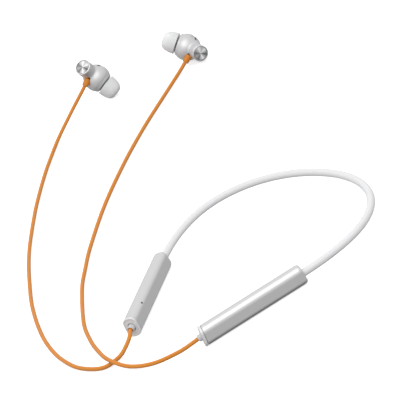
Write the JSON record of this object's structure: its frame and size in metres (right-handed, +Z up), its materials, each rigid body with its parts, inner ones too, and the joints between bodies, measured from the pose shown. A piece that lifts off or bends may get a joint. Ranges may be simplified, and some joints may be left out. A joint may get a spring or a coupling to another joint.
{
  "type": "neckband earphones",
  "caption": "Wireless neckband earphones: a springy silicone neckband between slim control pods, with corded in-ear earbuds whose metal disc ends clasp together.",
  "frame": {"origin": "centre of the bounding box of everything but the cords, at the plane the object lies on", "axes": "+Z up from the surface, +Y from the pods' cord ends towards the back of the neck, +X towards the right pod"},
  "size_m": [0.3448, 0.2716, 0.0309],
  "materials": {
    "shell": "satin-gloss light silver grey moulded plastic",
    "sleeve": "matte near-white silicone",
    "earbud_shell": "pearl grey satin-gloss plastic",
    "orange_rubber": "satin orange cord jacket",
    "metal_disc": "spun bright metal",
    "tip_silicone": "translucent white silicone",
    "inner_plastic": "black moulded plastic",
    "circuit_board": "green solder mask",
    "chip": "black epoxy",
    "steel": "plain metal",
    "battery_wrap": "grey foil pouch",
    "copper": "copper conductors in one bundle",
    "light_guide": "clear or white polymer"
  },
  "bodies": {
    "left_side": {"antenna": "chip", "band_harness": "copper", "band_sleeve_left": "sleeve", "left_band_anchor": "steel", "left_clasp_magnet": "steel", "left_cord": "orange_rubber", "left_cord_boot": "sleeve", "left_diaphragm": "light_guide", "left_disc_cap": "metal_disc", "left_driver": "steel", "left_end_cap": "shell", "left_front_housing": "earbud_shell", "left_nozzle_mesh": "steel", "left_pod_housing": "shell", "left_pod_tray": "inner_plastic", "left_rear_housing": "earbud_shell", "left_strain_relief": "orange_rubber", "left_trim_ring": "metal_disc", "left_vent_mesh": "steel", "light_guide": "light_guide", "main_board": "circuit_board", "memory_wire": "steel", "microphone": "steel", "microphone_mesh": "steel", "multifunction_switch": "inner_plastic", "power_chip": "chip", "right_clasp_magnet": "steel", "right_cord": "orange_rubber", "right_diaphragm": "light_guide", "right_disc_cap": "metal_disc", "right_driver": "steel", "right_front_housing": "earbud_shell", "right_nozzle_mesh": "steel", "right_rear_housing": "earbud_shell", "right_strain_relief": "orange_rubber", "right_trim_ring": "metal_disc", "right_vent_mesh": "steel", "usb_c_shell": "steel", "usb_c_tongue": "inner_plastic", "volume_down_switch": "inner_plastic", "volume_up_switch": "inner_plastic", "wireless_module": "steel"},
    "right_side": {"right_pod_housing": "shell", "right_end_cap": "shell", "right_cord_boot": "sleeve", "right_band_anchor": "steel", "right_pod_tray": "inner_plastic", "battery_cell": "battery_wrap", "protection_board": "circuit_board", "band_sleeve_right": "sleeve"},
    "volume_up_button_body": {"volume_up_button": "shell"},
    "multifunction_button_body": {"multifunction_button": "shell"},
    "volume_down_button_body": {"volume_down_button": "shell"},
    "left_ear_tip_body": {"left_ear_tip": "tip_silicone"},
    "right_ear_tip_body": {"right_ear_tip": "tip_silicone"}
  },
  "joints": [
    {"name": "band_flex", "type": "hinge", "parent": "left_side", "child": "right_side", "pos_m": [0.10271, 0.0106, 0.0053], "axis": [0, 0, 1], "range_deg": [-6, 14], "stiffness_Nm_per_rad": 0.5, "deforming": ["memory_wire", "band_harness", "right_cord"]},
    {"name": "volume_up_press", "type": "slide", "parent": "left_side", "child": "volume_up_button_body", "axis": [0.8796, 0.4756, 0], "range_m": [0, 0.0003], "stiffness_N_per_m": 1500},
    {"name": "multifunction_press", "type": "slide", "parent": "left_side", "child": "multifunction_button_body", "axis": [0.8796, 0.4756, 0], "range_m": [0, 0.0003], "stiffness_N_per_m": 1500},
    {"name": "volume_down_press", "type": "slide", "parent": "left_side", "child": "volume_down_button_body", "axis": [0.8796, 0.4756, 0], "range_m": [0, 0.0003], "stiffness_N_per_m": 1500},
    {"name": "left_tip_pull", "type": "slide", "parent": "left_side", "child": "left_ear_tip_body", "axis": [0.531, 0.111, -0.84], "range_m": [0, 0.005]},
    {"name": "right_tip_pull", "type": "slide", "parent": "left_side", "child": "right_ear_tip_body", "axis": [-0.6468, -0.3649, 0.6698], "range_m": [0, 0.005]}
  ]
}
